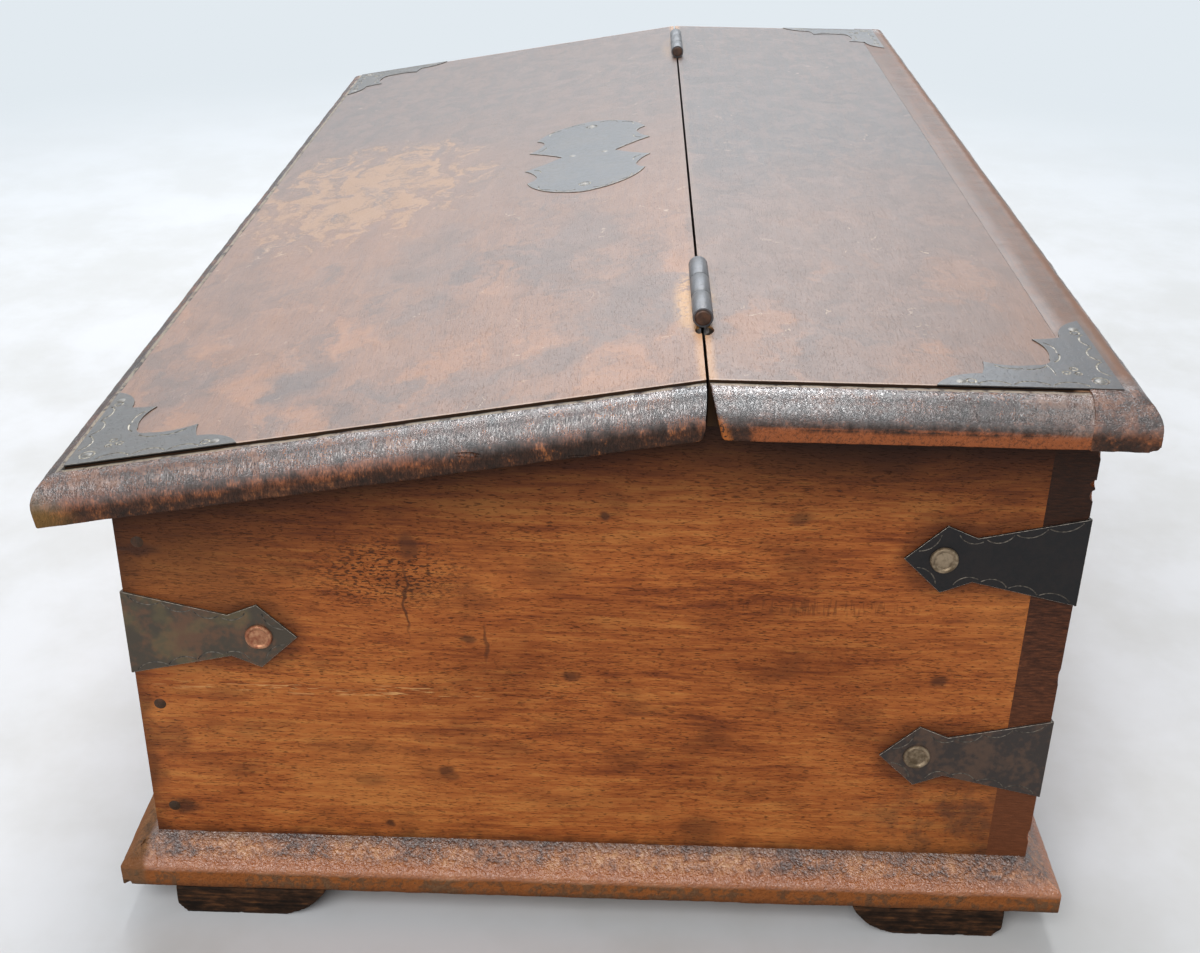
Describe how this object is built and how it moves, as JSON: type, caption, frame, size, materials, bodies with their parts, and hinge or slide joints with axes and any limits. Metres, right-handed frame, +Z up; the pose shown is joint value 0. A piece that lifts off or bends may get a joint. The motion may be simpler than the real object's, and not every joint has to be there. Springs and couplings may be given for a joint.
{
  "type": "desk letter box",
  "caption": "Wooden desk letter box: level back top, hinged sloping lid, moulded edges, sheet-iron corner mounts, plinth and low feet, and a till of pigeonholes and drawers inside.",
  "frame": {"origin": "centre of the footprint of the whole box, on the surface that the feet stand on", "axes": "+X along the length towards the right end, -Y towards the low front edge of the lid, +Z up"},
  "size_m": [0.617, 0.365, 0.2308],
  "materials": {
    "carcass_wood": "old waxed hardwood, warm orange brown, fine dark pores",
    "top_wood": "old polished hardwood, darkened and worn in patches",
    "moulding_wood": "dark polished hardwood, rubbed bare along the edges",
    "plinth_wood": "hardwood with worn, rubbed edges",
    "foot_wood": "dark grimy hardwood",
    "inner_wood": "dry unpolished hardwood",
    "sheet_iron": "thin blackened sheet iron, engraved",
    "hinge_iron": "rubbed grey iron",
    "lock_iron": "dark iron",
    "rivet_brass": "dull worn brass",
    "nail_iron": "dark iron"
  },
  "bodies": {
    "box": {"end_board_right": "carcass_wood", "end_board_left": "carcass_wood", "front_board": "carcass_wood", "back_board": "carcass_wood", "bottom_board": "inner_wood", "plinth_right": "plinth_wood", "plinth_left": "plinth_wood", "plinth_front": "plinth_wood", "plinth_back": "plinth_wood", "foot_front_right": "foot_wood", "foot_front_left": "foot_wood", "foot_back_right": "foot_wood", "foot_back_left": "foot_wood", "fixed_top_board": "top_wood", "fixed_top_moulding_right": "moulding_wood", "fixed_top_moulding_left": "moulding_wood", "fixed_top_moulding_back": "moulding_wood", "hinge_leaf_top_right": "hinge_iron", "hinge_leaf_top_left": "hinge_iron", "hinge_pins": "hinge_iron", "top_corner_plate_right": "sheet_iron", "top_corner_plate_left": "sheet_iron", "strap_front_right": "sheet_iron", "strap_front_left": "sheet_iron", "strap_back_low_right": "sheet_iron", "strap_back_low_left": "sheet_iron", "strap_back_high_right": "sheet_iron", "strap_back_high_left": "sheet_iron", "strap_rivets": "rivet_brass", "carcass_nails": "nail_iron", "box_brads": "nail_iron", "escutcheon": "lock_iron", "lock_case": "lock_iron", "till_shelf": "inner_wood", "till_divider_right": "inner_wood", "till_divider_left": "inner_wood", "till_divider_lower": "inner_wood"},
    "lid": {"lid_board": "top_wood", "lid_moulding_right": "moulding_wood", "lid_moulding_left": "moulding_wood", "lid_moulding_front": "moulding_wood", "hinge_leaf_lid_right": "hinge_iron", "hinge_leaf_lid_left": "hinge_iron", "lid_corner_plate_right": "sheet_iron", "lid_corner_plate_left": "sheet_iron", "lid_centre_plate": "sheet_iron", "lid_brads": "nail_iron", "lid_strike": "lock_iron"},
    "drawer_right": {"drawer_right_front": "inner_wood", "drawer_right_sides": "inner_wood", "drawer_right_back": "inner_wood", "drawer_right_bottom": "inner_wood", "drawer_right_knob": "inner_wood"},
    "drawer_left": {"drawer_left_front": "inner_wood", "drawer_left_sides": "inner_wood", "drawer_left_back": "inner_wood", "drawer_left_bottom": "inner_wood", "drawer_left_knob": "inner_wood"},
    "bolt": {"lock_bolt": "lock_iron"}
  },
  "joints": [
    {"name": "lid_hinge", "type": "hinge", "parent": "box", "child": "lid", "pos_m": [0, 0.039, 0.2272], "axis": [-1, 0, 0], "range_deg": [0, 185]},
    {"name": "drawer_right_slide", "type": "slide", "parent": "box", "child": "drawer_right", "axis": [0, -1, 0], "range_m": [0, 0.09]},
    {"name": "drawer_left_slide", "type": "slide", "parent": "box", "child": "drawer_left", "axis": [0, -1, 0], "range_m": [0, 0.09]},
    {"name": "lock_bolt_slide", "type": "slide", "parent": "box", "child": "bolt", "axis": [1, 0, 0], "range_m": [0, 0.008]}
  ]
}
